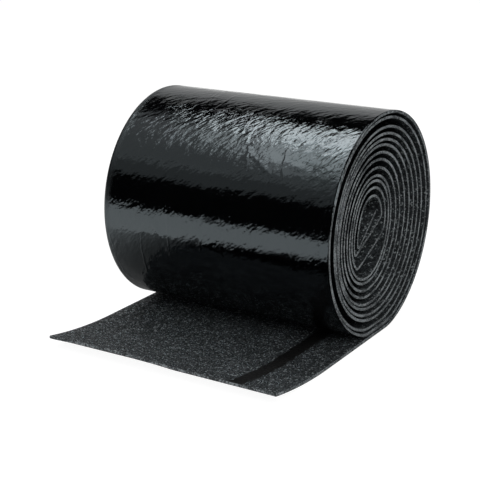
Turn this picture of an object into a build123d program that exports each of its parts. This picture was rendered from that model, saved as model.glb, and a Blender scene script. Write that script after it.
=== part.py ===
"""A roll of starter shingle: one long granule-faced asphalt strip, wound with its granules inwards.

The strip's outer end runs out from under the roll, flat on the floor with its granules up.
Millimetres. +X runs along the roll's axis, the loose end runs out towards -Y, and +Z is up.
The origin lies on the floor, straight under the middle of the roll.
"""

import math
import os

from build123d import *

os.makedirs("parts", exist_ok=True)

# The strip as it is sold: its width, and the thickness of the sheet and of the film on its back
sheet_width = 229.0
sheet_thickness = 2.5
film_thickness = 0.2

# The line of sealant on the granule face, and its distance from the sheet's edge
sealant_width = 15.5
sealant_thickness = 0.6
sealant_edge_distance = 31.0

# The winding, counted from where the sheet rises off the floor inwards to the bend of the flap
turn_count = 12.745
turn_gap = 3.73
easing_turns = 0.45

# The roll sags on the floor: how far its middle drops, and how the outer turn bends up from there
roll_sag = 1.6
foot_radius = 60.0

# Where a turn lies close on the next one out, the clearance it keeps and how softly it meets it;
# for the first turns in, that next one out carries the sealant. The end of the first turn lies
# over the loose end with a clearance of its own, where it faces down steeply enough.
lay_clearance = 0.41
end_clearance = 0.9
press_blend = 1.2
sealed_turns = 2.1
pressed_from = 0.5
pressed_steepness = 0.3

# The eye, left open by the core that the strip was wound on: it lies off the roll's middle,
# and it's squeezed to an oval that leans back
eye_radius = 22.5
eye_shift_y = -13.8
eye_shift_z = -1.8
eye_oval = 0.16
eye_lean = math.radians(18.0)

# The last turns run nearly flat across the eye, each at its own distance from the eye's centre
# (a flatness of 1 is straight, 0 is round), and the inner end is a straight flap
flat_distances = {11: 20.5, 12: 5.6}
flatness = 0.96
flat_direction = math.radians(26.0)
flat_blend = 6.0
flap_bend_radius = 3.2
flap_length = 37.5
flap_slope = math.radians(40.0)

# The loose end, measured from the middle of the roll, and the lift of its tip
tail_length = 183.0
curl_length = 84.0
curl_height = 8.2

# Where the winding is slack or tight: the turn, how far round it spreads, and how far it stands out
slack_places = (
    (0.74, 0.45, 1.6),
    (1.71, 0.30, 4.2),
    (2.86, 0.90, -1.6),
    (4.71, 0.35, -1.0),
    (5.71, 0.35, 1.8),
    (8.56, 0.90, -1.4),
    (9.26, 0.30, -1.8),
    (10.71, 0.25, -0.8),
    (11.71, 0.30, 1.0),
)

# How far round the film and the sealant follow the sheet, and how finely the curves are drawn
outer_layer_turns = 1
arcs_per_turn = 18
curl_arcs = 3
flap_arcs = 4

# What follows from those sizes
points_per_turn = 2 * arcs_per_turn
turn_pitch = sheet_thickness + turn_gap
roll_radius = eye_radius + turn_count * turn_pitch
sheet_level = film_thickness + sheet_thickness / 2
outer_radius = roll_radius - sheet_level
centre_z = roll_radius - roll_sag
eye_y = eye_shift_y
eye_z = centre_z + eye_shift_z
lay_pitch = sheet_thickness + film_thickness + lay_clearance
sealed_pitch = lay_pitch + sealant_thickness
end_pitch = sheet_thickness + film_thickness + sealant_thickness + end_clearance
curl_start = tail_length - curl_length
foot_reach = outer_radius - foot_radius
foot_angle = math.acos((foot_reach - roll_sag) / foot_reach)
foot_y = foot_reach * math.sin(foot_angle)
foot_z = sheet_level + foot_radius
rise_y = outer_radius * math.sin(foot_angle)
rise_z = centre_z - outer_radius * math.cos(foot_angle)
rise_angle = math.atan2(rise_y - eye_y, eye_z - rise_z)


def smooth_min(first, second, blend):
    """The lesser of two lengths, with the corner between them rounded over the blend."""
    overlap = max(blend - abs(first - second), 0.0) / blend
    return min(first, second) - overlap * overlap * blend / 4


def direction(turn):
    """The direction from the eye's centre to the sheet, from 0 straight down, turning to +Y."""
    return rise_angle + 2 * math.pi * turn


def slack_radius(turn):
    """The radius of the winding as it would be if the turns didn't press on one another."""
    eased = turn / (turn + easing_turns)
    slack = sum(
        rise * math.exp(-(((turn - place) / spread) ** 2)) for place, spread, rise in slack_places
    )
    return outer_radius - (turn_pitch * turn - slack) * eased


def end_level(y):
    """The height of the sheet's middle where it lies on the floor and bends up from there."""
    rise = max(y - foot_y, 0.0)
    return foot_z - math.sqrt(foot_radius**2 - rise**2)


def free_reach(turn):
    """How far the middle of the sheet lies from the eye's centre, for turns that don't touch."""
    angle = direction(turn)
    inward = min(turn / turn_count, 1.0)
    middle_y = -eye_shift_y * (1 - inward)
    middle_z = -eye_shift_z * (1 - inward)
    along = middle_y * math.sin(angle) - middle_z * math.cos(angle)
    radius = slack_radius(turn)
    reach = along + math.sqrt(radius**2 - middle_y**2 - middle_z**2 + along**2)
    reach *= 1 + eye_oval * inward**2 * math.cos(2 * (angle + eye_lean))
    facing = math.cos(angle - flat_direction)
    if facing > 0 and round(turn) in flat_distances:
        reach = smooth_min(reach, flat_distances[round(turn)] / facing**flatness, flat_blend)
    return reach


def winding_points():
    """Points along the middle of the sheet, from above the foot round and round to the flap."""
    reaches = []
    for step in range(2 * round(turn_count * arcs_per_turn) + 1):
        turn = step / points_per_turn
        reach = free_reach(turn)
        downward = math.cos(direction(turn))
        if downward > pressed_steepness and pressed_from < turn < 1:
            below_y = eye_y + (eye_z - sheet_level) * math.tan(direction(turn))
            over_loose_end = (eye_z - end_level(below_y) - end_pitch) / downward
            reach = smooth_min(reach, over_loose_end, press_blend)
        if step >= points_per_turn:
            pitch = sealed_pitch if turn < sealed_turns else lay_pitch
            reach = smooth_min(reach, reaches[step - points_per_turn] - pitch, press_blend)
        reaches.append(reach)
    points = []
    for step, reach in enumerate(reaches):
        angle = direction(step / points_per_turn)
        points.append((eye_y + reach * math.sin(angle), eye_z - reach * math.cos(angle)))
    return points


def flap_points(before, last):
    """Points round the bend that follows the last two winding points, and along the flap."""
    heading = math.atan2(last[1] - before[1], last[0] - before[0])
    turning = (flap_slope - heading) % (2 * math.pi)
    steps = 2 * flap_arcs
    y, z = last
    points = []
    for step in range(steps):
        course = heading + turning * (step + 0.5) / steps
        y += flap_bend_radius * turning / steps * math.cos(course)
        z += flap_bend_radius * turning / steps * math.sin(course)
        points.append((y, z))
    return points


def curl_line(offset):
    """The loose end's lifted tip, from the tip to the floor, moved to the sheet's back by offset."""
    points = []
    for step in range(2 * curl_arcs + 1):
        share = 1 - step / (2 * curl_arcs)
        slope = -2 * curl_height * share / curl_length
        length = math.hypot(1, slope)
        y = -curl_start - curl_length * share + offset * slope / length
        z = sheet_level + curl_height * share**2 - offset / length
        points.append((y, z))
    return points


def foot_line(offset):
    """The bend from the floor up into the roll, moved to the sheet's back by offset."""
    radius = foot_radius + offset
    angles = (0.0, foot_angle / 2, foot_angle)
    return [(foot_y + radius * math.sin(a), foot_z - radius * math.cos(a)) for a in angles]


def heading_at(points, index):
    """The way the sheet runs at a point, from the top of the foot to the end of the flap's bend."""
    if index == 0:
        return foot_angle
    if index == len(points) - 1:
        return flap_slope
    before, after = points[index - 1], points[index + 1]
    return math.atan2(after[1] - before[1], after[0] - before[0])


def wound_line(points, offset):
    """The winding moved to the sheet's back by offset."""
    moved = []
    for index, (y, z) in enumerate(points):
        heading = heading_at(points, index)
        moved.append((y + offset * math.sin(heading), z - offset * math.cos(heading)))
    return moved


winding = winding_points()
middle_line = winding + flap_points(winding[-2], winding[-1])


def arcs(points):
    """Arcs end to end, each through the next three points."""
    return [
        ThreePointArc(*points[index : index + 3], mode=Mode.PRIVATE)
        for index in range(0, len(points) - 2, 2)
    ]


def straight(start, end):
    """One straight edge of an outline."""
    return Line(start, end, mode=Mode.PRIVATE)


def layer_outline(near, far, point_count, end_length):
    """Draws the closed section of a layer, from near to far behind the sheet's middle.

    It follows the winding for point_count points, and then runs straight on for end_length.
    """
    near_curl, far_curl = curl_line(near), curl_line(far)
    near_foot, far_foot = foot_line(near), foot_line(far)
    near_wound = wound_line(middle_line, near)[:point_count]
    far_wound = wound_line(middle_line, far)[:point_count]
    edges = arcs(near_curl) + arcs(near_foot) + arcs(near_wound)
    edges += arcs(far_curl) + arcs(far_foot) + arcs(far_wound)
    edges.append(straight(near_curl[-1], near_foot[0]))
    edges.append(straight(far_curl[-1], far_foot[0]))
    edges.append(straight(near_curl[0], far_curl[0]))
    near_end, far_end = near_wound[-1], far_wound[-1]
    if end_length:
        run = (end_length * math.cos(flap_slope), end_length * math.sin(flap_slope))
        near_end = (near_end[0] + run[0], near_end[1] + run[1])
        far_end = (far_end[0] + run[0], far_end[1] + run[1])
        edges.append(straight(near_wound[-1], near_end))
        edges.append(straight(far_wound[-1], far_end))
    edges.append(straight(near_end, far_end))
    add(edges)


face_offset = sheet_thickness / 2
outer_points = outer_layer_turns * points_per_turn + 1

# The wound sheet: one strip, its flat loose end, its turns and its open eye
with BuildPart() as shingle_sheet:
    with BuildSketch(Plane.YZ.offset(-sheet_width / 2)):
        with BuildLine():
            layer_outline(-face_offset, face_offset, len(middle_line), flap_length)
        make_face()
    extrude(amount=sheet_width)

# The film on the adhesive back, along the loose end and round the outermost turn
with BuildPart() as release_film:
    with BuildSketch(Plane.YZ.offset(-sheet_width / 2)):
        with BuildLine():
            layer_outline(face_offset, face_offset + film_thickness, outer_points, 0)
        make_face()
    extrude(amount=sheet_width)

# The line of sealant on the granule face, near the sheet's +X edge
with BuildPart() as sealant_line:
    with BuildSketch(Plane.YZ.offset(sheet_width / 2 - sealant_edge_distance)):
        with BuildLine():
            layer_outline(-face_offset - sealant_thickness, -face_offset, outer_points, 0)
        make_face()
    extrude(amount=-sealant_width)

shingle_sheet.part.label = "shingle_sheet"
release_film.part.label = "release_film"
sealant_line.part.label = "sealant_line"

export_step(shingle_sheet.part, "parts/shingle_sheet.step")
export_step(release_film.part, "parts/release_film.step")
export_step(sealant_line.part, "parts/sealant_line.step")
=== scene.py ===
"""Dresses the roll of starter shingle: its granule-faced sheet, its glossy film and its sealant.

Metres. +X runs along the roll's axis, the loose end runs out towards -Y, and +Z is up. The
origin lies on the floor, straight under the middle of the roll.
"""

from __future__ import annotations

import logging
import math
from dataclasses import dataclass
from enum import Enum
from typing import Any, Callable

import bpy
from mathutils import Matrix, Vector

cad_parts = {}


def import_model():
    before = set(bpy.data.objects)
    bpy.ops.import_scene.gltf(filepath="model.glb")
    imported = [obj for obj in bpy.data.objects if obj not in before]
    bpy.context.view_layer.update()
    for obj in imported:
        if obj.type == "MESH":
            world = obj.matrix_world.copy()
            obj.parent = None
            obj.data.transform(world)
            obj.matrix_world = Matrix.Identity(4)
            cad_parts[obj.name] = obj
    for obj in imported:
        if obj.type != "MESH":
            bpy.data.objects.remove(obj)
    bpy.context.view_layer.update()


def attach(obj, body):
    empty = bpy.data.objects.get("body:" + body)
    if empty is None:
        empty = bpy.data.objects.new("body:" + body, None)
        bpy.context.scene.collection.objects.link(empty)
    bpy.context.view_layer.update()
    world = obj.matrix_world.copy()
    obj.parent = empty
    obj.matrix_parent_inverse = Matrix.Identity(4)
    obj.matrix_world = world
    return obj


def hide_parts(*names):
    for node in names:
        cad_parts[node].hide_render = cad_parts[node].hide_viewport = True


log = logging.getLogger("shingle_roll")

MM = 0.001
BODY = "root"

Settings = dict[str, Any]
Finish = bpy.types.Material
Piece = bpy.types.Object
Points = list[tuple[float, ...]]


def put(name: str, data: bpy.types.ID) -> Piece:
    """Makes an object of the data and puts it in the scene."""
    thing = bpy.data.objects.new(name, data)
    bpy.context.scene.collection.objects.link(thing)
    return thing


class Side(Enum):
    """The sheet's two faces, and which way each lies from its middle."""

    GRANULES = -1
    BACK = 1


def maths(operation: str, swapped: bool = False) -> Callable[..., Wire]:
    """A method for wires that adds a Math node.

    Args:
        operation: the node's operation.
        swapped: True where the other value comes first.

    Returns:
        The method, which gives the node's result.
    """

    def method(wire: Wire, *others: Wire | float) -> Wire:
        """Adds the node."""
        values = (wire, *others)
        inputs = dict(enumerate(reversed(values) if swapped else values))
        return wire.tree.out(wire.tree.add("ShaderNodeMath", {"operation": operation}, inputs))

    return method


@dataclass(frozen=True)
class Wire:
    """A socket of a node tree that can be used in sums, so that shader maths reads as maths."""

    tree: Tree
    socket: bpy.types.NodeSocket

    __add__ = __radd__ = maths("ADD")
    __sub__ = maths("SUBTRACT")
    __rsub__ = maths("SUBTRACT", swapped=True)
    __mul__ = __rmul__ = maths("MULTIPLY")
    __truediv__ = maths("DIVIDE")
    __pow__ = maths("POWER")
    __abs__ = maths("ABSOLUTE")
    least = maths("MINIMUM")
    most = maths("MAXIMUM")
    over = maths("GREATER_THAN")

    def ramp(self, low: float, high: float, start: float = 0.0, end: float = 1.0) -> Wire:
        """This value's smooth way from low to high.

        Args:
            low: where the result is start.
            high: where the result is end.
            start: the result at low and before it.
            end: the result at high and past it.

        Returns:
            The eased result.
        """
        node = self.tree.add(
            "ShaderNodeMapRange",
            {"interpolation_type": "SMOOTHSTEP"},
            {"Value": self, "From Min": low, "From Max": high, "To Min": start, "To Max": end},
        )
        return self.tree.out(node)


class Tree:
    """A node tree, of a material or of geometry, with one short way to add any node."""

    def __init__(self, tree: bpy.types.NodeTree) -> None:
        """Wraps a node tree."""
        self.tree = tree

    def add(
        self, kind: str, settings: Settings | None = None, inputs: dict | None = None
    ) -> bpy.types.Node:
        """Adds a node.

        Args:
            kind: the node's type.
            settings: what is set on the node first, such as its operation.
            inputs: the value or link of each socket, by its name or its number.

        Returns:
            The node.
        """
        node = self.tree.nodes.new(kind)
        for name, value in (settings or {}).items():
            setattr(node, name, value)
        for key, value in (inputs or {}).items():
            self.feed(node, key, value)
        return node

    def feed(self, node: bpy.types.Node, key: str | int, value: Any) -> None:
        """Sets or links one input of a node.

        Args:
            node: the node.
            key: the input's name or number.
            value: a value, or a wire.
        """
        socket = node.inputs[key]
        if isinstance(value, Wire):
            self.tree.links.new(value.socket, socket)
        else:
            socket.default_value = value

    def out(self, node: bpy.types.Node, key: str | int = 0) -> Wire:
        """One output of a node."""
        return Wire(self, node.outputs[key])

    def vector(self, x: Any = 0.0, y: Any = 0.0, z: Any = 0.0) -> Wire:
        """Three values as a vector."""
        return self.out(self.add("ShaderNodeCombineXYZ", None, {0: x, 1: y, 2: z}))

    def noise(self, where: Wire, scale: float, detail: float = 2.0, rough: float = 0.5) -> Wire:
        """Cloudy noise from 0 to 1.

        Args:
            where: the coordinates.
            scale: how many blotches fit in a metre.
            detail: how many finer layers it has.
            rough: how strong the finer layers are.

        Returns:
            The noise.
        """
        node = self.add(
            "ShaderNodeTexNoise",
            {"noise_dimensions": "3D"},
            {"Vector": where, "Scale": scale, "Detail": detail, "Roughness": rough},
        )
        return self.out(node, "Factor" if "Factor" in node.outputs else "Fac")

    def cells(
        self, where: Wire, scale: float, feature: str = "F1", output: str = "Distance"
    ) -> Wire:
        """Voronoi cells: their distance or their random colour."""
        node = self.add(
            "ShaderNodeTexVoronoi",
            {"voronoi_dimensions": "3D", "feature": feature},
            {"Vector": where, "Scale": scale},
        )
        return self.out(node, output)


class ShaderTree(Tree):
    """The node tree of one material."""

    def __init__(self, name: str) -> None:
        """Starts a material with a Principled shader and its output."""
        self.material = bpy.data.materials.new(name)
        self.material.use_nodes = True
        super().__init__(self.material.node_tree)
        self.tree.nodes.clear()
        self.surface = self.add("ShaderNodeOutputMaterial")
        self.shader = self.add("ShaderNodeBsdfPrincipled")
        self.tree.links.new(self.shader.outputs[0], self.surface.inputs["Surface"])

    def set(self, **sockets: Any) -> Finish:
        """Sets or links the Principled shader's sockets, and gives the finished material.

        Args:
            sockets: the value or link of each, named with _ for a space.

        Returns:
            The material.
        """
        for name, value in sockets.items():
            self.feed(self.shader, name.replace("_", " "), value)
        return self.material

    def place(self) -> Wire:
        """Object coordinates."""
        return self.out(self.add("ShaderNodeTexCoord"), "Object")

    def attribute(self, name: str) -> Wire:
        """A number that the mesh carries."""
        return self.out(self.add("ShaderNodeAttribute", {"attribute_name": name}), "Fac")

    def grey(self, value: Wire, stops: tuple) -> Wire:
        """A value turned to a grey by a ramp.

        Args:
            value: the value.
            stops: the ramp's (position, grey) stops.

        Returns:
            The grey.
        """
        node = self.add("ShaderNodeValToRGB", None, {0: value})
        elements = node.color_ramp.elements
        while len(elements) < len(stops):
            elements.new(1.0)
        for element, (position, grey) in zip(elements, stops):
            element.position = position
            element.color = (grey, grey, grey, 1.0)
        return self.out(node)

    def mix(self, share: Any, first: Any, second: Any, blend: str = "MIX") -> Wire:
        """Two colours mixed.

        Args:
            share: how much of the second.
            first: a wire, or (red, green, blue).
            second: the same.
            blend: how they are mixed.

        Returns:
            The mixed colour.
        """
        first, second = ((*v, 1.0) if isinstance(v, tuple) else v for v in (first, second))
        settings = {"data_type": "RGBA", "blend_type": blend}
        inputs = {0: share, 6: first, 7: second}
        return self.out(self.add("ShaderNodeMix", settings, inputs), 2)

    def bump(self, height: Wire, distance: float, under: Wire | None = None) -> Wire:
        """A normal bent by a height.

        Args:
            height: the height, as a share of distance.
            distance: how far a height of 1 stands out, in metres.
            under: the normal that it is added to.

        Returns:
            The bent normal.
        """
        inputs = {"Height": height, "Distance": distance}
        if under is not None:
            inputs["Normal"] = under
        return self.out(self.add("ShaderNodeBump", None, inputs))


@dataclass(frozen=True)
class GranuleFinish:
    """Dark mineral granules pressed into the sheet's upper face."""

    grain: float = 1.25 * MM
    relief: float = 0.5 * MM
    patch_scale: float = 38.0
    dark: tuple = (0.010, 0.012, 0.0135)
    mid: tuple = (0.042, 0.050, 0.055)
    pale: tuple = (0.27, 0.30, 0.31)
    pale_from: float = 0.90
    pale_to: float = 0.95

    def make(self) -> Finish:
        """Makes the finish."""
        tree = ShaderTree("granules")
        place = tree.place()
        grains = tree.cells(place, 1 / self.grain)
        random = tree.cells(place, 1 / self.grain, "F1", "Color")
        tone = tree.out(tree.add("ShaderNodeSeparateColor", None, {0: random}))
        patches = (tree.noise(place, self.patch_scale, 3.0) * 0.9 + 0.4).least(1.0)
        colour = tree.mix(tone.ramp(0.1, 0.85) * patches, self.dark, self.mid)
        colour = tree.mix(tone.ramp(self.pale_from, self.pale_to), colour, self.pale)
        return tree.set(
            Base_Color=colour,
            Roughness=tone.ramp(0.0, 1.0, 0.9, 0.45),
            Specular_IOR_Level=0.35,
            Normal=tree.bump(grains * -1.0, self.relief),
        )


@dataclass(frozen=True)
class GrainFinish:
    """The loose-looking granules that stand out of the flat end, each with its own tone."""

    greys: tuple = ((0.0, 0.006), (0.5, 0.027), (0.85, 0.0594), (0.97, 0.50))
    cool: tuple = (0.76, 0.92, 1.0)

    def make(self) -> Finish:
        """Makes the finish."""
        tree = ShaderTree("grains")
        tone = tree.attribute("tone")
        return tree.set(
            Base_Color=tree.mix(1.0, tree.grey(tone, self.greys), self.cool, "MULTIPLY"),
            Roughness=tone.ramp(0.0, 1.0, 0.75, 0.35),
            Specular_IOR_Level=0.4,
        )


@dataclass(frozen=True)
class CutEdgeFinish:
    """The sheet's cut edge: grey mat and filler between two faces."""

    base: tuple = (0.036, 0.041, 0.044)
    fleck: tuple = (0.27, 0.295, 0.305)
    fine_scale: float = 800.0
    broad_scale: float = 60.0
    relief: float = 0.4 * MM

    def make(self) -> Finish:
        """Makes the finish."""
        tree = ShaderTree("cut_edge")
        place = tree.place()
        fine = tree.noise(place, self.fine_scale, 3.0, 0.65)
        broad = tree.noise(place, self.broad_scale)
        share = (fine * 1.3 + broad * 0.5 - 0.55).ramp(0.25, 0.5)
        return tree.set(
            Base_Color=tree.mix(share, self.base, self.fleck),
            Roughness=0.85,
            Specular_IOR_Level=0.25,
            Normal=tree.bump(fine, self.relief),
        )


@dataclass(frozen=True)
class FilmFinish:
    """Thin glossy black film stuck to the sheet's adhesive back, crumpled as it was pressed on."""

    colour: tuple = (0.0008, 0.0009, 0.0011)
    bare_rim: tuple = (0.006, 0.0065, 0.007)
    gloss: tuple = (0.80, 0.94, 1.0, 1.0)
    rim_width: float = 5.0 * MM
    rim_wander: float = 3.0 * MM
    half_width: float = 114.5 * MM
    rucked_on: tuple = (0.445, 0.475)
    rucked_off: tuple = (0.53, 0.585)
    crumple_scale: float = 215.0
    crumple_height: float = 0.50 * MM
    fine_scale: float = 560.0
    fine_height: float = 0.10 * MM
    fold_scale: float = 34.0
    fold_height: float = 0.12 * MM
    smear_scale: float = 60.0
    patch_scale: float = 24.0
    crease_scale: float = 14.0
    rim_scale: float = 300.0

    def make(self) -> Finish:
        """Makes the finish."""
        tree = ShaderTree("film")
        across, along, turn = map(tree.attribute, ("across", "along", "turn"))
        surface = tree.vector(across, along)
        leaning = tree.vector((across + along) * 0.7, (across - along) * 0.32)
        rucked = turn.ramp(*self.rucked_on) * turn.ramp(*self.rucked_off, 1.0, 0.0)
        uneven = tree.noise(surface, self.patch_scale).ramp(0.3, 0.7, 0.55, 1.3)
        crumple = tree.noise(leaning, self.crumple_scale, 3.0, 0.48)
        crumple = crumple * uneven * (rucked * 1.1 + 0.8)
        fine = tree.noise(leaning, self.fine_scale, 2.0, 0.45) * uneven * 0.9
        bent = tree.vector(across + crumple * 4.0 * MM, along * 0.35)
        folds = tree.cells(bent, self.fold_scale, "DISTANCE_TO_EDGE").ramp(0.0, 0.05, 1.0, 0.0)
        creased = tree.noise(surface, self.crease_scale).ramp(0.45, 0.6)
        normal = tree.bump(crumple, self.crumple_height)
        normal = tree.bump(fine, self.fine_height, normal)
        normal = tree.bump(folds * creased, self.fold_height, normal)
        wander = tree.noise(surface, self.rim_scale) * self.rim_wander
        from_side = across + wander + self.half_width
        rim = from_side.ramp(self.rim_width, 2.0 * self.rim_width, 1.0, 0.0)
        smears = tree.noise(surface, self.smear_scale, 4.0, 0.6).ramp(0.35, 0.75, 0.04, 0.11)
        return tree.set(
            Base_Color=tree.mix(rim, self.colour, self.bare_rim),
            Roughness=smears * (1.0 - rim) + rim * 0.3,
            Specular_IOR_Level=0.85,
            Specular_Tint=self.gloss,
            Normal=normal,
        )


@dataclass(frozen=True)
class SealantFinish:
    """The line of black sealant, uneven and faintly shiny."""

    greys: tuple = ((0.3, 0.004), (0.8, 0.012))
    lump_scale: float = 350.0
    relief: float = 0.5 * MM

    def make(self) -> Finish:
        """Makes the finish."""
        tree = ShaderTree("sealant")
        lumps = tree.noise(tree.place(), self.lump_scale, 3.0, 0.55)
        return tree.set(
            Base_Color=tree.grey(lumps, self.greys),
            Roughness=lumps.ramp(0.3, 0.7, 0.35, 0.6),
            Specular_IOR_Level=0.35,
            Normal=tree.bump(lumps, self.relief),
        )


@dataclass
class Winding:
    """The way the sheet lies and is wound: the same values as the part's source, in metres."""

    sheet_width: float = 229.0 * MM
    sheet_thickness: float = 2.5 * MM
    film_thickness: float = 0.2 * MM
    sealant_width: float = 15.5 * MM
    sealant_thickness: float = 0.6 * MM
    sealant_edge_distance: float = 31.0 * MM
    turn_count: float = 12.745
    turn_gap: float = 3.73 * MM
    easing_turns: float = 0.45
    roll_sag: float = 1.6 * MM
    foot_radius: float = 60.0 * MM
    lay_clearance: float = 0.41 * MM
    end_clearance: float = 0.9 * MM
    press_blend: float = 1.2 * MM
    sealed_turns: float = 2.1
    pressed_from: float = 0.5
    pressed_steepness: float = 0.3
    eye_radius: float = 22.5 * MM
    eye_shift_y: float = -13.8 * MM
    eye_shift_z: float = -1.8 * MM
    eye_oval: float = 0.16
    eye_lean: float = math.radians(18.0)
    flat_first: float = 20.5 * MM
    flat_second: float = 5.6 * MM
    flatness: float = 0.96
    flat_direction: float = math.radians(26.0)
    flat_blend: float = 6.0 * MM
    flap_bend_radius: float = 3.2 * MM
    flap_length: float = 37.5 * MM
    flap_slope: float = math.radians(40.0)
    tail_length: float = 183.0 * MM
    curl_length: float = 84.0 * MM
    curl_height: float = 8.2 * MM
    layered_turns: float = 1.0
    foot_steps: int = 4
    bend_steps: int = 10
    flap_steps: int = 12
    slack_places: tuple = (
        (0.74, 0.45, 1.6),
        (1.71, 0.30, 4.2),
        (2.86, 0.90, -1.6),
        (4.71, 0.35, -1.0),
        (5.71, 0.35, 1.8),
        (8.56, 0.90, -1.4),
        (9.26, 0.30, -1.8),
        (10.71, 0.25, -0.8),
        (11.71, 0.30, 1.0),
    )

    def __post_init__(self) -> None:
        """Works out what follows from those sizes, as the part's source does."""
        self.half_width = self.sheet_width / 2
        self.sealant_right = self.half_width - self.sealant_edge_distance
        self.sealant_middle = self.sealant_right - self.sealant_width / 2
        self.back_depth = self.face(Side.BACK) - self.film_thickness
        self.turn_pitch = self.sheet_thickness + self.turn_gap
        self.sheet_level = self.film_thickness + self.sheet_thickness / 2
        roll_radius = self.eye_radius + self.turn_count * self.turn_pitch
        self.outer_radius = roll_radius - self.sheet_level
        centre_z = roll_radius - self.roll_sag
        self.eye_z = centre_z + self.eye_shift_z
        layers = self.sheet_thickness + self.film_thickness + self.sealant_thickness
        self.end_pitch = layers + self.end_clearance
        foot_reach = self.outer_radius - self.foot_radius
        self.foot_angle = math.acos((foot_reach - self.roll_sag) / foot_reach)
        self.foot_y = foot_reach * math.sin(self.foot_angle)
        self.foot_z = self.sheet_level + self.foot_radius
        rise_y = self.outer_radius * math.sin(self.foot_angle)
        rise_z = centre_z - self.outer_radius * math.cos(self.foot_angle)
        self.rise_angle = math.atan2(rise_y - self.eye_shift_y, self.eye_z - rise_z)

    def face(self, side: Side) -> float:
        """The depth of one of the sheet's faces, with its middle line at 0."""
        return side.value * self.sheet_thickness / 2

    def least_pitch(self, turn: float) -> float:
        """The least distance from a turn to the next one out, which may carry the sealant."""
        pitch = self.sheet_thickness + self.film_thickness + self.lay_clearance
        return pitch + self.sealant_thickness if turn < self.sealed_turns else pitch

    @staticmethod
    def smooth_min(first: float, second: float, blend: float) -> float:
        """The lesser of two lengths, with the corner between them rounded over the blend."""
        overlap = max(blend - abs(first - second), 0.0) / blend
        return min(first, second) - overlap * overlap * blend / 4

    def direction(self, turn: float) -> float:
        """The way from the eye's centre to the sheet: 0 is straight down, and it turns to +Y."""
        return self.rise_angle + 2 * math.pi * turn

    def end_level(self, y: float) -> float:
        """The height of the sheet's middle where it lies on the floor and bends up from there."""
        return self.foot_z - math.sqrt(self.foot_radius**2 - max(y - self.foot_y, 0.0) ** 2)

    def slack_radius(self, turn: float) -> float:
        """The radius of the winding as it would be if the turns didn't press on one another."""
        eased = turn / (turn + self.easing_turns)
        slack = sum(
            rise * MM * math.exp(-(((turn - place) / spread) ** 2))
            for place, spread, rise in self.slack_places
        )
        return self.outer_radius - (self.turn_pitch * turn - slack) * eased

    def free_reach(self, turn: float) -> float:
        """How far the sheet's middle lies from the eye's centre, for turns that don't touch.

        Args:
            turn: the turn, counted from the foot.

        Returns:
            The distance.
        """
        angle = self.direction(turn)
        inward = min(turn / self.turn_count, 1.0)
        middle_y = -self.eye_shift_y * (1 - inward)
        middle_z = -self.eye_shift_z * (1 - inward)
        shift = middle_y * math.sin(angle) - middle_z * math.cos(angle)
        radius = self.slack_radius(turn)
        reach = shift + math.sqrt(radius**2 - middle_y**2 - middle_z**2 + shift**2)
        reach *= 1 + self.eye_oval * inward**2 * math.cos(2 * (angle + self.eye_lean))
        facing = math.cos(angle - self.flat_direction)
        flats = {11: self.flat_first, 12: self.flat_second}
        if facing > 0 and round(turn) in flats:
            flat = flats[round(turn)] / facing**self.flatness
            reach = self.smooth_min(reach, flat, self.flat_blend)
        return reach

    def wound(self, per_turn: int) -> Points:
        """Points (y, z, turn) from above the foot round and round to the flap's bend.

        Args:
            per_turn: how many points each turn has.

        Returns:
            The points.
        """
        reaches: list[float] = []
        points = []
        for step in range(round(self.turn_count * per_turn) + 1):
            turn = step / per_turn
            reach = self.free_reach(turn)
            angle = self.direction(turn)
            downward = math.cos(angle)
            if downward > self.pressed_steepness and self.pressed_from < turn < 1:
                below_y = self.eye_shift_y + (self.eye_z - self.sheet_level) * math.tan(angle)
                over_end = (self.eye_z - self.end_level(below_y) - self.end_pitch) / downward
                reach = self.smooth_min(reach, over_end, self.press_blend)
            if step >= per_turn:
                outer = reaches[step - per_turn] - self.least_pitch(turn)
                reach = self.smooth_min(reach, outer, self.press_blend)
            reaches.append(reach)
            y = self.eye_shift_y + reach * math.sin(angle)
            points.append((y, self.eye_z - reach * downward, turn))
        return points

    def flap(self, before: tuple, last: tuple) -> Points:
        """Points (y, z, turn) round the last bend and along the straight flap.

        Args:
            before: the last point but one of the winding.
            last: its last point.

        Returns:
            The points that follow.
        """
        heading = math.atan2(last[1] - before[1], last[0] - before[0])
        turning = (self.flap_slope - heading) % (2 * math.pi)
        stride = self.flap_bend_radius * turning / self.bend_steps
        strides = [
            (heading + turning * (step + 0.5) / self.bend_steps, stride)
            for step in range(self.bend_steps)
        ]
        strides += [(self.flap_slope, self.flap_length / self.flap_steps)] * self.flap_steps
        y, z, turn = last
        points = []
        for course, stride in strides:
            y += stride * math.cos(course)
            z += stride * math.sin(course)
            points.append((y, z, turn))
        return points

    def loose_end(self, spacing: float) -> Points:
        """Points (y, z, turn) from the lifted tip along the floor and up, short of the round.

        Args:
            spacing: the distance between them.

        Returns:
            The points.
        """
        run = self.tail_length + self.foot_y
        count = round(run / spacing)
        points = []
        for step in range(count):
            y = self.foot_y - run * (1 - step / count)
            lift = max(-y - (self.tail_length - self.curl_length), 0.0) / self.curl_length
            points.append((y, self.sheet_level + self.curl_height * lift**2, 0.0))
        count = max(round(self.foot_radius * self.foot_angle / spacing), self.foot_steps)
        for step in range(count):
            angle = self.foot_angle * step / count
            y = self.foot_y + self.foot_radius * math.sin(angle)
            points.append((y, self.foot_z - self.foot_radius * math.cos(angle), 0.0))
        return points

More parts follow.
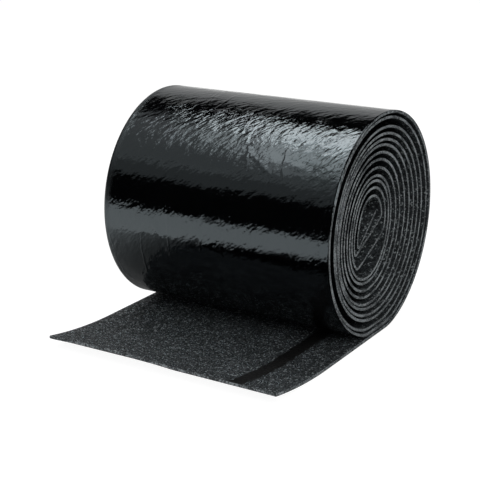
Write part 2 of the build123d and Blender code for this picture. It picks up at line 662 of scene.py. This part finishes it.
    def path(self, per_turn: int, tail_spacing: float, whole: bool) -> Points:
        """The sheet's middle line (y, z, turn, distance along) from the tip inwards.

        Args:
            per_turn: how many points each turn has.
            tail_spacing: the distance between the loose end's points.
            whole: True to go on to the flap's end, and False to stop after the outermost turn.

        Returns:
            The points.
        """
        wound = self.wound(per_turn)
        if whole:
            wound += self.flap(wound[-2], wound[-1])
        else:
            wound = [point for point in wound if point[2] <= self.layered_turns]
        found: Points = []
        along = 0.0
        for y, z, turn in self.loose_end(tail_spacing) + wound:
            if found:
                along += math.hypot(y - found[-1][0], z - found[-1][1])
            found.append((y, z, turn, along))
        return found


class GeometryTree(Tree):
    """A Geometry Nodes tree with named inputs, used once to make a piece."""

    def __init__(self, name: str) -> None:
        """Starts the tree with its Geometry input and output."""
        super().__init__(bpy.data.node_groups.new(name, "GeometryNodeTree"))
        self.values: dict[str, Any] = {}
        for way in ("INPUT", "OUTPUT"):
            self.tree.interface.new_socket(
                "Geometry", in_out=way, socket_type="NodeSocketGeometry"
            )
        self.entry = self.add("NodeGroupInput")
        self.exit = self.add("NodeGroupOutput")

    def size(self, name: str, value: Any) -> Wire:
        """A named input of the tree, and the value that the piece gives it.

        Args:
            name: the input's name.
            value: a number, an object or a material.

        Returns:
            The input.
        """
        kind = "NodeSocket" + type(value).__name__.capitalize()
        socket = self.tree.interface.new_socket(name, in_out="INPUT", socket_type=kind)
        self.values[socket.identifier] = value
        return self.out(self.entry, name)

    def named(self, name: str, kind: str = "FLOAT") -> Wire:
        """A value that the geometry carries."""
        node = self.add("GeometryNodeInputNamedAttribute", {"data_type": kind}, {"Name": name})
        return self.out(node)

    def random(self, low: Any, high: Any, seed: int) -> Wire:
        """Random numbers or vectors between low and high.

        Args:
            low: the least number or vector.
            high: the greatest.
            seed: the seed.

        Returns:
            The random values.
        """
        kind, first = ("FLOAT_VECTOR", 0) if isinstance(low, tuple) else ("FLOAT", 2)
        inputs = {first: low, first + 1: high, "Seed": seed}
        node = self.add("FunctionNodeRandomValue", {"data_type": kind}, inputs)
        return self.out(node, first // 2)

    def object(self, name: str, value: Piece) -> Wire:
        """The geometry of an object, which is a named input of the tree."""
        node = self.add("GeometryNodeObjectInfo", None, {0: self.size(name, value)})
        return self.out(node, "Geometry")

    def then(
        self, kind: str, geometry: Wire, settings: Settings | None = None, **inputs: Any
    ) -> Wire:
        """Passes geometry through a node, with its sockets named with _ for a space.

        Args:
            kind: the node's type.
            geometry: what goes in.
            settings: what is set on the node.
            inputs: its other inputs.

        Returns:
            What comes out.
        """
        named = {name.replace("_", " "): value for name, value in inputs.items()}
        node = self.add(kind, settings, named)
        self.tree.links.new(geometry.socket, node.inputs[0])
        return self.out(node)

    def move(self, geometry: Wire, offset: Wire) -> Wire:
        """Moves the geometry's points."""
        return self.then("GeometryNodeSetPosition", geometry, Offset=offset)

    def finish(self, geometry: Wire, finishes: list[tuple]) -> None:
        """Ends the tree: instances made real, and its finishes set, each where its mask says.

        Args:
            geometry: what the tree has made.
            finishes: each finish, and where it lies, or None for everywhere.
        """
        geometry = self.then("GeometryNodeRealizeInstances", geometry)
        for finish, where in finishes:
            inputs = {"Material": self.size(finish.name, finish)}
            if where is not None:
                inputs["Selection"] = where
            geometry = self.then("GeometryNodeSetMaterial", geometry, **inputs)
        self.tree.links.new(geometry.socket, self.exit.inputs[0])

    def make(self, name: str, start: bpy.types.Mesh) -> Piece:
        """Runs the tree on a mesh and gives the result as a plain object.

        Args:
            name: the name of the piece.
            start: the mesh that it starts from.

        Returns:
            The finished piece.
        """
        source = put(name + "_source", start)
        modifier = source.modifiers.new(name, "NODES")
        modifier.node_group = self.tree
        for identifier, value in self.values.items():
            modifier[identifier] = value
        bpy.context.view_layer.update()
        graph = bpy.context.evaluated_depsgraph_get()
        mesh = bpy.data.meshes.new_from_object(source.evaluated_get(graph), depsgraph=graph)
        mesh.name = name
        source.modifiers.clear()
        bpy.data.objects.remove(source)
        return put(name, mesh)


@dataclass
class Layer:
    """A layer of the sheet, swept along its middle line with a closed section."""

    winding: Winding
    per_turn: int = 120
    tail_spacing: float = 5.0 * MM
    whole: bool = False
    smooth: bool = True
    bow_height: float = 1.5 * MM
    bow_place: float = -45.0 * MM
    bow_spread: float = 62.0 * MM
    bow_reach: float = 70.0 * MM
    profile: Piece | None = None

    @staticmethod
    def line(name: str, points: Points, closed: bool, numbers: dict) -> bpy.types.Mesh:
        """A mesh of edges from point to point, which carries numbers.

        Args:
            name: the mesh's name.
            points: its points.
            closed: True to join the last to the first.
            numbers: the numbers of each name, one a point.

        Returns:
            The mesh.
        """
        mesh = bpy.data.meshes.new(name)
        edges = [(index, index + 1) for index in range(len(points) - 1)]
        if closed:
            edges.append((len(points) - 1, 0))
        mesh.from_pydata(points, edges, [])
        for key, values in numbers.items():
            mesh.attributes.new(key, "FLOAT", "POINT").data.foreach_set("value", values)
        return mesh

    @staticmethod
    def steps(first: float, last: float, count: int) -> list[float]:
        """Evenly spaced values from first to last, both included."""
        return [first + (last - first) * step / count for step in range(count + 1)]

    def sweep(self, tree: GeometryTree, outline: Points) -> Wire:
        """Sweeps a closed section along the sheet, and stores the way out of the roll as it goes.

        Args:
            tree: the tree that does it.
            outline: the section's points (across, depth towards the back).

        Returns:
            The swept mesh.
        """
        numbers = {"across": [x for x, _ in outline], "depth": [y for _, y in outline]}
        section = self.line("section", [(x, y, 0.0) for x, y in outline], True, numbers)
        self.profile = put("section", section)
        profile = tree.then("GeometryNodeMeshToCurve", tree.object("Section", self.profile))
        curve = tree.then("GeometryNodeMeshToCurve", tree.out(tree.entry, "Geometry"))
        tangent = tree.out(tree.add("GeometryNodeInputTangent"))
        cross = {0: tangent, 1: (1.0, 0.0, 0.0)}
        outward = tree.add("ShaderNodeVectorMath", {"operation": "CROSS_PRODUCT"}, cross)
        kind = {"data_type": "FLOAT_VECTOR", "domain": "POINT"}
        inputs = {"Name": "outward", "Value": tree.out(outward)}
        curve = tree.then("GeometryNodeStoreNamedAttribute", curve, kind, **inputs)
        return tree.then("GeometryNodeCurveToMesh", curve, Profile_Curve=profile, Fill_Caps=True)

    def run(self, tree: GeometryTree, mesh: Wire, name: str, finishes: list[tuple]) -> Piece:
        """Ends the layer's tree, runs it along the sheet's middle line and clears up.

        Args:
            tree: the tree.
            mesh: the layer as it is so far.
            name: the name of the piece.
            finishes: each finish, and where it lies, or None for everywhere.

        Returns:
            The finished piece.
        """
        mesh = self.lie(tree, mesh)
        mesh = tree.then("GeometryNodeSetShadeSmooth", mesh, Shade_Smooth=self.smooth)
        tree.finish(mesh, finishes)
        path = self.winding.path(self.per_turn, self.tail_spacing, self.whole)
        points = [(0.0, y, z) for y, z, _, _ in path]
        _, _, turn, along = zip(*path)
        spine = self.line("spine", points, False, {"along": along, "turn": turn})
        piece = tree.make(name, spine)
        bpy.data.objects.remove(self.profile)
        return piece

    def lie(self, tree: GeometryTree, mesh: Wire) -> Wire:
        """Bows the loose end's front edge up a little where it doesn't lie flat.

        Args:
            tree: the tree that does it.
            mesh: the layer.

        Returns:
            The bowed layer.
        """
        across, along = tree.named("across"), tree.named("along")
        bow = tree.size("Bow height", self.bow_height)
        middle = tree.size("Bow place", self.bow_place)
        spread = tree.size("Bow spread", self.bow_spread)
        lean = ((across - middle) / spread) ** 2.0
        rise = (1.0 - lean).most(0.0) * along.ramp(0.0, self.bow_reach, 1.0, 0.0)
        return tree.move(mesh, tree.vector(0.0, 0.0, rise * bow))


@dataclass
class WoundSheet(Layer):
    """The granule-faced sheet: its loose end, its turns and its flap."""

    whole: bool = True
    smooth: bool = False
    corner: float = 0.35 * MM
    ragged: float = 0.35 * MM
    face_steps: int = 16
    back_steps: int = 6
    edge_steps: int = 3
    recess: float = 5.5 * MM
    uneven: float = 2.4 * MM
    wander_scale: float = 0.8
    wear_scales: tuple = (700.0, 500.0)

    def outline(self) -> Points:
        """The sheet's section: granule face, cut edge, back, cut edge."""
        half, corner = self.winding.half_width, self.corner
        face, back = self.winding.face(Side.GRANULES), self.winding.back_depth
        rises = self.steps(face + corner, back - corner, self.edge_steps)
        falls = self.steps(back - corner, face + corner, self.edge_steps)
        points = [(x, face) for x in self.steps(corner - half, half - corner, self.face_steps)]
        points += [(half, y) for y in rises]
        points += [(x, back) for x in self.steps(half - corner, corner - half, self.back_steps)]
        return points + [(-half, y) for y in falls]

    def wear(self, tree: GeometryTree, mesh: Wire) -> Wire:
        """Makes the cut edges ragged.

        Args:
            tree: the tree that does it.
            mesh: the swept sheet.

        Returns:
            The worn sheet.
        """
        across, along, depth = map(tree.named, ("across", "along", "depth"))
        ragged = tree.size("Edge raggedness", self.ragged)
        at_edge = abs(across).over(self.winding.half_width - self.corner / 2)
        side = across.over(0.0) * 2.0 - 1.0
        lengthways, through = self.wear_scales
        where = tree.vector(along * lengthways, depth * through, side)
        wear = tree.noise(where, 1.0, 3.0, 0.6)
        return tree.move(mesh, tree.vector(wear * ragged * at_edge * side * -1.0))

    def stand_back(self, tree: GeometryTree, mesh: Wire) -> Wire:
        """Draws the inner turns' edges back from the roll's ends, each by its own amount.

        Args:
            tree: the tree that does it.
            mesh: the sheet.

        Returns:
            The sheet with its ends uneven.
        """
        across, turn = tree.named("across"), tree.named("turn")
        depth = tree.size("End recess", self.recess)
        uneven = tree.size("End unevenness", self.uneven)
        width, scale = self.winding.sheet_width, self.wander_scale
        inside = turn.ramp(0.4, 1.6)
        near = tree.noise(tree.vector(turn * scale), 1.0, 1.0) * uneven
        back = (turn.ramp(1.0, 9.0) * depth + near * inside) * (across / width + 0.5)
        far = tree.noise(tree.vector(turn * scale, 7.0), 1.0, 1.0) * uneven
        front = far * inside * (0.5 - across / width)
        return tree.move(mesh, tree.vector(front - back))

    def build(self, granules: Finish, edge: Finish, back: Finish) -> Piece:
        """Makes the sheet.

        Args:
            granules: the finish of its upper face.
            edge: the finish of its cut edges.
            back: the finish of its back, which the film covers.

        Returns:
            The finished piece.
        """
        tree = GeometryTree("Wound sheet")
        mesh = self.stand_back(tree, self.wear(tree, self.sweep(tree, self.outline())))
        depth, margin = tree.named("depth"), self.corner / 4
        on_face = 1.0 - depth.over(self.winding.face(Side.GRANULES) + margin)
        on_back = depth.over(self.winding.back_depth - margin)
        finishes = [(edge, None), (granules, on_face), (back, on_back)]
        return self.run(tree, mesh, "wound_sheet", finishes)


@dataclass
class OuterFilm(Layer):
    """The glossy film on the outermost turn and under the loose end, with its wrinkles."""

    per_turn: int = 372
    tail_spacing: float = 6.0 * MM
    across_steps: int = 132
    seat: float = 0.02 * MM
    valley: float = 0.08 * MM
    slow_scale: float = 55.0
    quick_scale: float = 150.0
    rucked_on: tuple = (0.46, 0.56)
    rucked_off: tuple = (0.72, 0.80)

    @property
    def inner_depth(self) -> float:
        """The depth of the film's inner side, just clear of the sheet's back."""
        return self.winding.back_depth + self.seat

    def outline(self) -> Points:
        """The film's section: its outer side finely divided, its inner side plain."""
        half, inner = self.winding.half_width, self.inner_depth
        outer = inner + self.valley
        points = [(x, inner) for x in self.steps(-half, half, 4)]
        return points + [(x, outer) for x in self.steps(half, -half, self.across_steps)]

    def build(self, finish: Finish) -> Piece:
        """Makes the film with its finish.

        Args:
            finish: the finish.

        Returns:
            The finished piece.
        """
        tree = GeometryTree("Wrinkled film")
        mesh = self.sweep(tree, self.outline())
        across, along, depth, turn = map(tree.named, ("across", "along", "depth", "turn"))
        outermost = self.winding.face(Side.BACK) + self.winding.film_thickness
        room = tree.size("Wrinkle height", outermost - self.inner_depth - self.valley)
        slow = tree.noise(tree.vector(across, along * 0.6), self.slow_scale)
        quick = tree.noise(tree.vector(across, along * 0.45, 3.0), self.quick_scale, 3.0, 0.6)
        rucked = turn.ramp(*self.rucked_on) * turn.ramp(*self.rucked_off, 1.0, 0.0)
        height = slow * 0.5 + quick * (rucked * 0.35 + 0.12)
        outside = depth.over(self.inner_depth + self.valley / 2)
        height = (height * outside * turn.ramp(0.0, 0.03)).least(1.0)
        stretch = {0: tree.named("outward", "FLOAT_VECTOR"), "Scale": height * room}
        offset = tree.add("ShaderNodeVectorMath", {"operation": "SCALE"}, stretch)
        mesh = tree.move(mesh, tree.out(offset))
        return self.run(tree, mesh, "outer_film", [(finish, None)])


@dataclass
class SealantLine(Layer):
    """The uneven line of sealant on the granule face."""

    per_turn: int = 180
    tail_spacing: float = 2.0 * MM
    steps_across: int = 12
    side_wander: float = 3.0 * MM
    wander_scale: float = 190.0

    def outline(self) -> Points:
        """The line's section: a low bead on the granule face."""
        right = self.winding.sealant_right
        left = right - self.winding.sealant_width
        base = self.winding.face(Side.GRANULES)
        points = [(x, base) for x in self.steps(right, left, 2)]
        for step in range(1, self.steps_across):
            share = step / self.steps_across
            rise = min(1.0, 6 * min(share, 1 - share)) * self.winding.sealant_thickness
            points.append((left + (right - left) * share, base - rise))
        return points

    def build(self, finish: Finish) -> Piece:
        """Makes the sealant with its finish.

        Args:
            finish: the finish.

        Returns:
            The finished piece.
        """
        tree = GeometryTree("Sealant")
        mesh = self.sweep(tree, self.outline())
        across, along = tree.named("across"), tree.named("along")
        wander = tree.size("Side wander", self.side_wander)
        offside = (across - self.winding.sealant_middle) / (self.winding.sealant_width / 2)
        where = tree.vector(along * self.wander_scale, offside.over(0.0) * 9.0)
        uneven = tree.noise(where, 1.0, 3.0, 0.6).ramp(0.40, 0.68)
        mesh = tree.move(mesh, tree.vector(offside * uneven * wander * -1.0))
        return self.run(tree, mesh, "sealant_bead", [(finish, None)])


@dataclass
class Grains:
    """Granules scattered over the loose end's upper face."""

    winding: Winding
    radius: float = 0.5 * MM
    spacing: float = 1.15 * MM
    density: float = 1.4e6
    edge_margin: float = 0.8 * MM
    face_margin: float = 0.1 * MM
    reach: float = 172.0 * MM
    stuck_from: float = 14.0 * MM
    stuck_to: float = 60.0 * MM
    smallest: tuple = (0.75, 0.75, 0.6)
    largest: tuple = (1.3, 1.3, 1.1)
    least_turn: tuple = (0.0, 0.0, 0.0)
    most_turn: tuple = (6.28, 6.28, 6.28)
    seed: int = 11
    turn_seed: int = 3
    size_seed: int = 5
    tone_seed: int = 7

    def stone(self) -> Piece:
        """One small eight-faced stone."""
        corners = [(1, 0.1, 0), (-0.9, 0.1, 0.1), (0.1, 0.8, 0), (0, -1, -0.1)]
        corners += [(0.15, 0, 0.75), (0, 0.1, -0.75)]
        upper = [(0, 2, 4), (2, 1, 4), (1, 3, 4), (3, 0, 4)]
        lower = [(2, 0, 5), (1, 2, 5), (3, 1, 5), (0, 3, 5)]
        points = [tuple(self.radius * value for value in corner) for corner in corners]
        mesh = bpy.data.meshes.new("stone")
        mesh.from_pydata(points, [], upper + lower)
        return put("stone", mesh)

    def build(self, sheet: Piece, finish: Finish) -> Piece:
        """Scatters the granules on the finished sheet.

        Args:
            sheet: the wound sheet.
            finish: the granules' finish.

        Returns:
            The finished piece.
        """
        winding = self.winding
        tree = GeometryTree("Granules")
        stone = self.stone()
        across, along, depth = map(tree.named, ("across", "along", "depth"))
        face = winding.face(Side.GRANULES) + self.face_margin
        surface = tree.then(
            "GeometryNodeDeleteGeometry",
            tree.object("Sheet", sheet),
            {"domain": "FACE"},
            Selection=depth.over(face).most(along.over(self.reach)),
        )
        inside, outside = 0.36 * winding.sealant_width, 0.52 * winding.sealant_width
        off_line = abs(across - winding.sealant_middle).ramp(inside, outside)
        stuck = along.ramp(self.stuck_from, self.stuck_to, 0.95, 0.12)
        at_side = abs(across).over(winding.half_width - self.edge_margin)
        keep = off_line.most(stuck) * (1.0 - at_side) * along.over(self.edge_margin)
        scatter = tree.add(
            "GeometryNodeDistributePointsOnFaces",
            {"distribute_method": "POISSON"},
            {
                "Mesh": surface,
                "Distance Min": tree.size("Grain spacing", self.spacing),
                "Density Max": tree.size("Grains per square metre", self.density),
                "Density Factor": keep,
                "Seed": tree.size("Seed", self.seed),
            },
        )
        stones = tree.then(
            "GeometryNodeInstanceOnPoints",
            tree.out(scatter, "Points"),
            Instance=tree.object("Stone", stone),
            Rotation=tree.random(self.least_turn, self.most_turn, self.turn_seed),
            Scale=tree.random(self.smallest, self.largest, self.size_seed),
        )
        kind = {"data_type": "FLOAT", "domain": "INSTANCE"}
        inputs = {"Name": "tone", "Value": tree.random(0.0, 1.0, self.tone_seed)}
        stones = tree.then("GeometryNodeStoreNamedAttribute", stones, kind, **inputs)
        tree.finish(stones, [(finish, None)])
        piece = tree.make("grains", bpy.data.meshes.new("grain_start"))
        bpy.data.objects.remove(stone)
        return piece


@dataclass(frozen=True)
class Lamp:
    """One soft lamp, which points at its aim, or straight down."""

    name: str
    place: tuple
    size: tuple
    power: float
    aim: tuple | None = None

    def make(self) -> None:
        """Puts the lamp in the scene."""
        light = bpy.data.lights.new(self.name, "AREA")
        light.shape = "RECTANGLE"
        light.size, light.size_y = self.size
        light.energy = self.power
        lamp = put(self.name, light)
        lamp.location = self.place
        way = Vector(self.aim or (*self.place[:2], 0.0)) - Vector(self.place)
        lamp.rotation_euler = way.to_track_quat("-Z", "Y").to_euler()
        lamp.visible_camera = False


@dataclass(frozen=True)
class View:
    """The camera, matched to the photograph's viewing angle."""

    azimuth: float = 0.5618
    elevation: float = 0.3037
    distance: float = 1.15197
    target: tuple = (-0.03344, 0.0, 0.06446)
    roll: float = -0.0029
    focal_pixels: float = 1219.70
    frame_pixels: float = 480.0
    shift_pixels: tuple = (-0.05, -2.16)

    def make(self) -> None:
        """Puts the camera in the scene."""
        level, rise = math.cos(self.elevation), math.sin(self.elevation)
        away = Vector((math.sin(self.azimuth) * level, -math.cos(self.azimuth) * level, rise))
        data = bpy.data.cameras.new("camera")
        data.sensor_width = 36.0
        data.sensor_fit = "HORIZONTAL"
        data.lens = self.focal_pixels * data.sensor_width / self.frame_pixels
        data.shift_x = -self.shift_pixels[0] / self.frame_pixels
        data.shift_y = self.shift_pixels[1] / self.frame_pixels
        camera = put("camera", data)
        camera.location = Vector(self.target) + away * self.distance
        camera.rotation_euler = (-away).to_track_quat("-Z", "Y").to_matrix().to_euler()
        camera.rotation_euler.rotate_axis("Z", self.roll)
        bpy.context.scene.camera = camera


@dataclass(frozen=True)
class Studio:
    """The plain pale floor, the white surroundings and the soft lamps."""

    floor_box: tuple = ((-5.0, -1.0), (5.0, 7.0))
    floor_colour: tuple = (0.82, 0.82, 0.82, 1.0)
    floor_shine: float = 0.8
    floor_white: float = 1.18
    floor_gloss: float = 1.2
    half_width: float = 0.115
    shadow_left: float = -0.164
    shadow_reach: float = 0.238
    shadow_slope: float = 0.36
    backdrop: float = 0.54
    dim: float = 0.002
    plain: float = 0.35
    lamps: tuple = (
        Lamp("softbox", (-1.05, -0.52, 1.27), (1.3, 1.5), 2.7),
        Lamp("softbox_core", (-0.44, 0.11, 1.25), (0.34, 0.52), 3.0),
        Lamp("softbox_side", (-0.50, -0.42, 1.26), (0.38, 0.5), 1.0),
        Lamp("softbox_fade", (-0.52, -0.50, 1.265), (0.5, 0.95), 0.9),
        Lamp("softbox_low", (-1.3, -1.7, 1.25), (1.6, 1.0), 1.3),
        Lamp("end_fill", (1.5, -0.9, 1.1), (1.0, 1.0), 12.0, (0.0, 0.0, 0.1)),
        Lamp("overhead", (0.2, 0.5, 2.2), (1.6, 1.2), 8.0),
    )

    def floor(self) -> None:
        """The floor: white as the surroundings, with the roll's rendered shadow where the camera
        sees it and a painted shadow where the film mirrors it.
        """
        (left, front), (right, back) = self.floor_box
        corners = [(left, front, 0.0), (right, front, 0.0), (right, back, 0.0), (left, back, 0.0)]
        mesh = bpy.data.meshes.new("floor")
        mesh.from_pydata(corners, [], [(0, 1, 2, 3)])
        floor = put("floor", mesh)
        tree = ShaderTree("floor")
        camera, gloss = self.rays(tree)
        tree.set(Base_Color=self.floor_colour, Roughness=0.9, Specular_IOR_Level=0.0)
        # The film's gloss sees the floor's glow with a painted shadow beside the roll and beyond
        # the loose end.
        strength = camera * self.floor_white + gloss * self.shaded(tree) * self.floor_gloss
        glow = tree.add("ShaderNodeEmission", None, {"Strength": strength})
        share = camera * self.floor_shine + gloss
        inputs = {0: share, 1: tree.out(tree.shader), 2: tree.out(glow)}
        tree.feed(tree.surface, "Surface", tree.out(tree.add("ShaderNodeMixShader", None, inputs)))
        mesh.materials.append(tree.material)

    @staticmethod
    def rays(tree: Tree) -> tuple[Wire, Wire]:
        """1 for camera rays, and 1 for glossy and transmission rays."""
        path = tree.add("ShaderNodeLightPath")
        gloss = tree.out(path, "Is Glossy Ray").most(tree.out(path, "Is Transmission Ray"))
        return tree.out(path, "Is Camera Ray"), gloss

    def shaded(self, tree: ShaderTree) -> Wire:
        """Painted shadow on the floor as the film mirrors it: dark beside the roll and just beyond
        the loose end.

        Args:
            tree: the floor's tree.

        Returns:
            Its brightness.
        """
        split = tree.add("ShaderNodeSeparateXYZ", None, {0: tree.place()})
        x, y = tree.out(split, 0), tree.out(split, 1)
        shadow_edge = (x - self.shadow_left) * self.shadow_slope + self.shadow_reach
        beyond = (y * -1.0 - shadow_edge).ramp(-0.010, 0.012)
        beside = (x * -1.0 - self.half_width).ramp(0.0, 0.14, 0.12, 0.8)
        return beyond.most(beside * (x * -1.0).over(self.half_width))

    def surroundings(self) -> None:
        """White all round for the camera, and in the film's gloss a pale backdrop behind it."""
        world = bpy.data.worlds.new("studio")
        bpy.context.scene.world = world
        world.use_nodes = True
        tree = Tree(world.node_tree)
        tree.tree.nodes.clear()
        looking = tree.out(tree.add("ShaderNodeTexCoord"), "Generated")
        way = tree.add("ShaderNodeSeparateXYZ", None, {0: looking})
        behind, height = tree.out(way, 1).ramp(0.05, 0.5), tree.out(way, 2)
        backdrop = behind * height.ramp(0.52, 0.60, self.backdrop, 0.0)
        camera, gloss = self.rays(tree)
        others = 1.0 - camera.most(gloss)
        strength = camera + gloss * (backdrop + self.dim) + others * self.plain
        inputs = {"Color": (1, 1, 1, 1), "Strength": strength}
        glow = tree.add("ShaderNodeBackground", None, inputs)
        tree.add("ShaderNodeOutputWorld", None, {0: tree.out(glow)})

    def make(self) -> None:
        """Sets the studio up."""
        self.floor()
        self.surroundings()
        for lamp in self.lamps:
            lamp.make()
        bpy.context.scene.view_settings.view_transform = "Standard"


def report(piece: Piece) -> None:
    """Logs a piece's size."""
    piece.data.calc_loop_triangles()
    log.info("%s: %d triangles", piece.name, len(piece.data.loop_triangles))


def main() -> None:
    """Builds the pieces in order and dresses them."""
    logging.basicConfig(level=logging.INFO, format="%(name)s: %(message)s")
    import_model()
    winding = Winding()
    View().make()
    Studio().make()

    granules, edge = GranuleFinish().make(), CutEdgeFinish().make()
    film_finish, sealant_finish = FilmFinish().make(), SealantFinish().make()

    sheet = WoundSheet(winding).build(granules, edge, film_finish)
    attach(sheet, BODY)
    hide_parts("shingle_sheet")
    report(sheet)

    film = OuterFilm(winding).build(film_finish)
    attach(film, BODY)
    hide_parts("release_film")
    report(film)

    sealant = SealantLine(winding).build(sealant_finish)
    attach(sealant, BODY)
    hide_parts("sealant_line")
    report(sealant)

    grains = Grains(winding).build(sheet, GrainFinish().make())
    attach(grains, BODY)
    report(grains)


if __name__ == "__main__":
    main()
